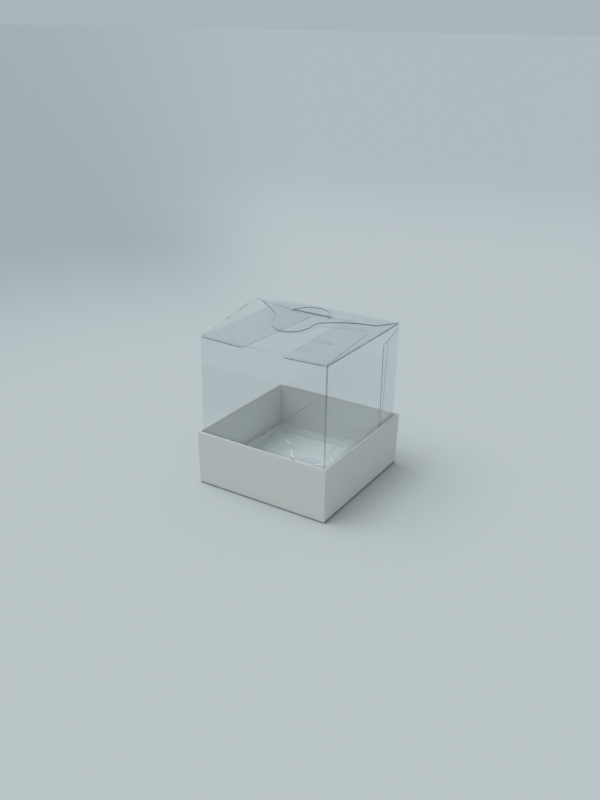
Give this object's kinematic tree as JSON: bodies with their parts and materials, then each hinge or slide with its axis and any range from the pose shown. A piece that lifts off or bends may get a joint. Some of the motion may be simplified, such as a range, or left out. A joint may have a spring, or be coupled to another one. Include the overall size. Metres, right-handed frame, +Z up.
{
  "type": "clear folding box on card tray",
  "caption": "Small square gift box: a clear folded plastic sleeve with tongue-and-slit closures, standing in a shallow white card tray.",
  "frame": {"origin": "middle of the tray's underside, on the surface the box stands on", "axes": "+Z up, +X to the right along the front wall, +Y from the front wall to the back wall, which carries the slit flap"},
  "size_m": [0.0528, 0.0538, 0.0609],
  "materials": {
    "clear_sheet": "gloss",
    "white_card": "matte"
  },
  "bodies": {
    "tray": {"tray_base": "white_card", "tray_front_outer_panel": "white_card", "tray_front_inner_panel": "white_card", "tray_right_outer_panel": "white_card", "tray_right_inner_panel": "white_card", "tray_back_outer_panel": "white_card", "tray_back_inner_panel": "white_card", "tray_left_outer_panel": "white_card", "tray_left_inner_panel": "white_card", "tray_front_left_corner_tab": "white_card", "tray_front_right_corner_tab": "white_card", "tray_back_left_corner_tab": "white_card", "tray_back_right_corner_tab": "white_card"},
    "sleeve": {"sleeve_front_wall": "clear_sheet", "sleeve_right_wall": "clear_sheet", "sleeve_back_wall": "clear_sheet", "sleeve_left_wall": "clear_sheet", "sleeve_glue_tab": "clear_sheet", "bottom_back_flap": "clear_sheet", "bottom_front_flap": "clear_sheet"},
    "top_back_flap": {"top_back_flap": "clear_sheet"},
    "top_front_flap": {"top_front_flap": "clear_sheet"},
    "top_left_dust_flap": {"top_left_dust_flap": "clear_sheet"},
    "top_right_dust_flap": {"top_right_dust_flap": "clear_sheet"},
    "bottom_left_dust_flap": {"bottom_left_dust_flap": "clear_sheet"},
    "bottom_right_dust_flap": {"bottom_right_dust_flap": "clear_sheet"}
  },
  "joints": [
    {"name": "sleeve_lift", "type": "slide", "parent": "tray", "child": "sleeve", "axis": [0, 0, 1], "range_m": [0, 0.06]},
    {"name": "top_back_flap_fold", "type": "hinge", "parent": "sleeve", "child": "top_back_flap", "pos_m": [0, 0.02536, 0.056], "axis": [-1, 0, 0], "range_deg": [0, 150]},
    {"name": "top_front_flap_fold", "type": "hinge", "parent": "sleeve", "child": "top_front_flap", "pos_m": [0, -0.02536, 0.056], "axis": [1, 0, 0], "range_deg": [0, 72.5]},
    {"name": "top_left_dust_flap_fold", "type": "hinge", "parent": "sleeve", "child": "top_left_dust_flap", "pos_m": [-0.02448, 0, 0.05555], "axis": [0, 1, 0], "range_deg": [0, 77], "stiffness_Nm_per_rad": 0.001},
    {"name": "top_right_dust_flap_fold", "type": "hinge", "parent": "sleeve", "child": "top_right_dust_flap", "pos_m": [0.02448, 0, 0.05555], "axis": [0, -1, 0], "range_deg": [0, 77], "stiffness_Nm_per_rad": 0.001},
    {"name": "bottom_left_dust_flap_fold", "type": "hinge", "parent": "sleeve", "child": "bottom_left_dust_flap", "pos_m": [-0.02448, 0, 0.00445], "axis": [0, -1, 0], "range_deg": [-38, 40], "stiffness_Nm_per_rad": 0.001},
    {"name": "bottom_right_dust_flap_fold", "type": "hinge", "parent": "sleeve", "child": "bottom_right_dust_flap", "pos_m": [0.02448, 0, 0.00445], "axis": [0, 1, 0], "range_deg": [-3, 75], "stiffness_Nm_per_rad": 0.001}
  ],
  "couplings": [
    {"joint": "top_front_flap_fold", "follows": "top_back_flap_fold", "ratio": 0.48}
  ]
}
